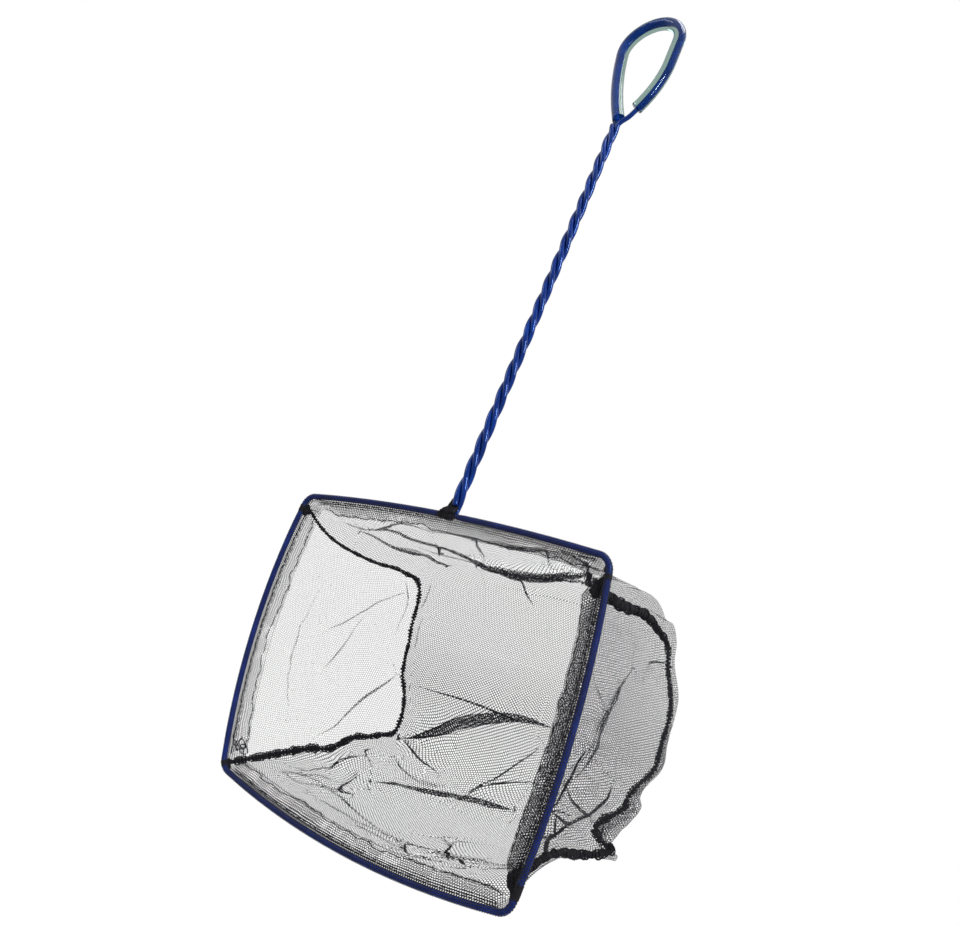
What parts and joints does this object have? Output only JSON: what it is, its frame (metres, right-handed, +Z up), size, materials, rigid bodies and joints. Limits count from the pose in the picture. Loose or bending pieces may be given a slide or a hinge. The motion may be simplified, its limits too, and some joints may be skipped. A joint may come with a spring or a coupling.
{
  "type": "aquarium fish net",
  "caption": "Aquarium fish net: a blue coated wire hoop with a black mesh bag, a twisted wire handle and a sleeved finger loop.",
  "frame": {"origin": "point on the underside of the sleeve at the top of the finger loop, where a hook bears when the net hangs", "axes": "+X along the hoop's width, +Y back into the bag, +Z up the height of the hoop and towards the finger loop"},
  "size_m": [0.2183, 0.1278, 0.5199],
  "materials": {
    "coated_wire": "smooth glossy blue plastic coat on steel wire",
    "clear_sleeve": "clear soft plastic tube with a slight green tint",
    "black_mesh": "fine black knotless netting, matt",
    "black_thread": "black overlock and tack stitching, matt"
  },
  "bodies": {
    "root": {"hoop_wire": "coated_wire", "handle_strand_left": "coated_wire", "handle_strand_right": "coated_wire", "handle_strand_return": "coated_wire", "loop_wire": "coated_wire", "grip_sleeve": "clear_sleeve", "centre_panel": "black_mesh", "left_end_panel": "black_mesh", "right_end_panel": "black_mesh", "left_seam": "black_thread", "right_seam": "black_thread", "top_hem": "black_mesh", "left_hem": "black_mesh", "right_hem": "black_mesh", "bottom_hem": "black_mesh", "top_left_tack": "black_thread", "top_right_tack": "black_thread", "bottom_left_tack": "black_thread", "bottom_right_tack": "black_thread"}
  },
  "joints": []
}
